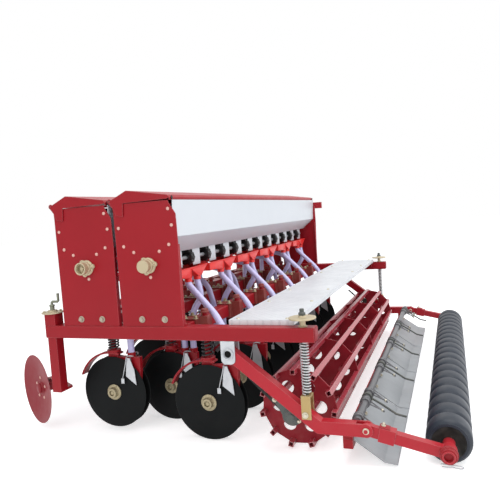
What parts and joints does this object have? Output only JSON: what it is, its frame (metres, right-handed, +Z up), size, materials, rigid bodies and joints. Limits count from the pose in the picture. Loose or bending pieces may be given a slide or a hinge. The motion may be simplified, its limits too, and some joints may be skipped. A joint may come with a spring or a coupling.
{
  "type": "seed drill",
  "caption": "Mounted seed drill: two lidded hoppers feed disc openers through hoses, with a cage roller, levelling boards and a ribbed press roller behind",
  "frame": {"origin": "on the ground under the middle of the machine's bounding box", "axes": "+X to the machine's right seen from behind, +Y forwards to the tractor, +Z up"},
  "size_m": [2.656, 2.392, 1.18],
  "materials": {
    "red_paint": "gloss enamel over sheet and tube",
    "dark_red_paint": "semi-gloss enamel",
    "brown_red_paint": "matt enamel",
    "white_sheet": "pale galvanised sheet",
    "galvanised": "zinc coated, dull",
    "dark_steel": "matt phosphated",
    "grey_sheet": "worn steel sheet",
    "black_paint": "semi-gloss",
    "spring_black": "powder coat",
    "yellow_zinc": "yellow chromate",
    "cream_plastic": "moulded, slightly glossy",
    "black_plastic": "moulded",
    "red_plastic": "moulded, glossy",
    "clear_hose": "ribbed, slightly translucent",
    "slate_rubber": "ribbed rubber rings"
  },
  "bodies": {
    "frame": {"side_beams": "red_paint", "opener_beams": "red_paint", "headstock": "red_paint", "hopper_ends": "red_paint", "hopper_troughs": "white_sheet", "lid_rods": "dark_steel", "meter_uprights": "white_sheet", "seed_funnels": "red_plastic", "fertiliser_funnels": "red_plastic", "openers_front": "red_paint", "openers_middle": "red_paint", "openers_rear": "red_paint", "opener_clamps": "brown_red_paint", "opener_springs": "spring_black", "scrapers": "galvanised", "seed_hoses": "clear_hose", "fertiliser_hoses": "clear_hose", "rate_knobs": "cream_plastic", "corner_posts": "red_paint", "corner_cranks": "cream_plastic", "footboard": "white_sheet", "depth_arms": "red_paint", "pivot_plates": "galvanised", "bearing_plates": "dark_steel", "strut_clevises": "yellow_zinc", "strut_springs": "galvanised", "strut_handwheels": "cream_plastic", "tine_pipe": "galvanised", "board_beam": "red_paint", "levelling_boards": "grey_sheet", "board_springs": "grey_sheet", "drive_case": "red_paint"},
    "front_lid": {"front_lid": "red_paint"},
    "rear_lid": {"rear_lid": "red_paint"},
    "fertiliser_shaft": {"fertiliser_meters": "black_plastic"},
    "seed_shaft": {"seed_meters": "black_plastic"},
    "corner_disc_left": {"corner_disc_left": "dark_red_paint"},
    "corner_disc_right": {"corner_disc_right": "dark_red_paint"},
    "cage_roller": {"cage_bars": "dark_red_paint", "cage_plates": "dark_red_paint"},
    "press_frame": {"rear_arms": "red_paint"},
    "press_roller": {"press_roller": "slate_rubber"},
    "discs_front_1": {"discs_front_1": "black_paint"},
    "discs_front_2": {"discs_front_2": "black_paint"},
    "discs_front_3": {"discs_front_3": "black_paint"},
    "discs_front_4": {"discs_front_4": "black_paint"},
    "discs_front_5": {"discs_front_5": "black_paint"},
    "discs_front_6": {"discs_front_6": "black_paint"},
    "discs_middle_1": {"discs_middle_1": "black_paint"},
    "discs_middle_2": {"discs_middle_2": "black_paint"},
    "discs_middle_3": {"discs_middle_3": "black_paint"},
    "discs_middle_4": {"discs_middle_4": "black_paint"},
    "discs_middle_5": {"discs_middle_5": "black_paint"},
    "discs_middle_6": {"discs_middle_6": "black_paint"},
    "discs_rear_1": {"discs_rear_1": "black_paint"},
    "discs_rear_2": {"discs_rear_2": "black_paint"},
    "discs_rear_3": {"discs_rear_3": "black_paint"},
    "discs_rear_4": {"discs_rear_4": "black_paint"},
    "discs_rear_5": {"discs_rear_5": "black_paint"},
    "discs_rear_6": {"discs_rear_6": "black_paint"}
  },
  "joints": [
    {"name": "front_lid_hinge", "type": "hinge", "parent": "frame", "child": "front_lid", "pos_m": [0, 0.62, 1.137], "axis": [-1, 0, 0], "range_deg": [0, 100]},
    {"name": "rear_lid_hinge", "type": "hinge", "parent": "frame", "child": "rear_lid", "pos_m": [0, 0.29, 1.137], "axis": [-1, 0, 0], "range_deg": [0, 90]},
    {"name": "fertiliser_shaft_turn", "type": "hinge", "parent": "frame", "child": "fertiliser_shaft", "pos_m": [0, 0.442, 0.842], "axis": [1, 0, 0], "continuous": true},
    {"name": "seed_shaft_turn", "type": "hinge", "parent": "frame", "child": "seed_shaft", "pos_m": [0, 0.112, 0.842], "axis": [1, 0, 0], "continuous": true},
    {"name": "discs_front_1_turn", "type": "hinge", "parent": "frame", "child": "discs_front_1", "pos_m": [-1.1, 0.457, 0.202], "axis": [1, 0, 0], "continuous": true},
    {"name": "discs_front_2_turn", "type": "hinge", "parent": "frame", "child": "discs_front_2", "pos_m": [-0.7, 0.457, 0.202], "axis": [1, 0, 0], "continuous": true},
    {"name": "discs_front_3_turn", "type": "hinge", "parent": "frame", "child": "discs_front_3", "pos_m": [-0.3, 0.457, 0.202], "axis": [1, 0, 0], "continuous": true},
    {"name": "discs_front_4_turn", "type": "hinge", "parent": "frame", "child": "discs_front_4", "pos_m": [0.1, 0.457, 0.202], "axis": [1, 0, 0], "continuous": true},
    {"name": "discs_front_5_turn", "type": "hinge", "parent": "frame", "child": "discs_front_5", "pos_m": [0.5, 0.457, 0.202], "axis": [1, 0, 0], "continuous": true},
    {"name": "discs_front_6_turn", "type": "hinge", "parent": "frame", "child": "discs_front_6", "pos_m": [0.9, 0.457, 0.202], "axis": [1, 0, 0], "continuous": true},
    {"name": "discs_middle_1_turn", "type": "hinge", "parent": "frame", "child": "discs_middle_1", "pos_m": [-0.9, 0.245, 0.178], "axis": [1, 0, 0], "continuous": true},
    {"name": "discs_middle_2_turn", "type": "hinge", "parent": "frame", "child": "discs_middle_2", "pos_m": [-0.5, 0.245, 0.178], "axis": [1, 0, 0], "continuous": true},
    {"name": "discs_middle_3_turn", "type": "hinge", "parent": "frame", "child": "discs_middle_3", "pos_m": [-0.1, 0.245, 0.178], "axis": [1, 0, 0], "continuous": true},
    {"name": "discs_middle_4_turn", "type": "hinge", "parent": "frame", "child": "discs_middle_4", "pos_m": [0.3, 0.245, 0.178], "axis": [1, 0, 0], "continuous": true},
    {"name": "discs_middle_5_turn", "type": "hinge", "parent": "frame", "child": "discs_middle_5", "pos_m": [0.7, 0.245, 0.178], "axis": [1, 0, 0], "continuous": true},
    {"name": "discs_middle_6_turn", "type": "hinge", "parent": "frame", "child": "discs_middle_6", "pos_m": [1.1, 0.245, 0.178], "axis": [1, 0, 0], "continuous": true},
    {"name": "discs_rear_1_turn", "type": "hinge", "parent": "frame", "child": "discs_rear_1", "pos_m": [-1.1, -0.06, 0.178], "axis": [1, 0, 0], "continuous": true},
    {"name": "discs_rear_2_turn", "type": "hinge", "parent": "frame", "child": "discs_rear_2", "pos_m": [-0.7, -0.06, 0.178], "axis": [1, 0, 0], "continuous": true},
    {"name": "discs_rear_3_turn", "type": "hinge", "parent": "frame", "child": "discs_rear_3", "pos_m": [-0.3, -0.06, 0.178], "axis": [1, 0, 0], "continuous": true},
    {"name": "discs_rear_4_turn", "type": "hinge", "parent": "frame", "child": "discs_rear_4", "pos_m": [0.1, -0.06, 0.178], "axis": [1, 0, 0], "continuous": true},
    {"name": "discs_rear_5_turn", "type": "hinge", "parent": "frame", "child": "discs_rear_5", "pos_m": [0.5, -0.06, 0.178], "axis": [1, 0, 0], "continuous": true},
    {"name": "discs_rear_6_turn", "type": "hinge", "parent": "frame", "child": "discs_rear_6", "pos_m": [0.9, -0.06, 0.178], "axis": [1, 0, 0], "continuous": true},
    {"name": "corner_disc_left_turn", "type": "hinge", "parent": "frame", "child": "corner_disc_left", "pos_m": [-1.165, 0.905, 0.208], "axis": [0.891, -0.454, 0], "continuous": true},
    {"name": "corner_disc_right_turn", "type": "hinge", "parent": "frame", "child": "corner_disc_right", "pos_m": [1.165, 0.905, 0.208], "axis": [-0.891, -0.454, 0], "continuous": true},
    {"name": "cage_roller_turn", "type": "hinge", "parent": "frame", "child": "cage_roller", "pos_m": [0, -0.49, 0.181], "axis": [1, 0, 0], "continuous": true},
    {"name": "press_frame_hinge", "type": "hinge", "parent": "frame", "child": "press_frame", "pos_m": [0, -0.803, 0.158], "axis": [-1, 0, 0], "range_deg": [-4, 25]},
    {"name": "press_roller_turn", "type": "hinge", "parent": "press_frame", "child": "press_roller", "pos_m": [0, -1.106, 0.09], "axis": [1, 0, 0], "continuous": true}
  ]
}
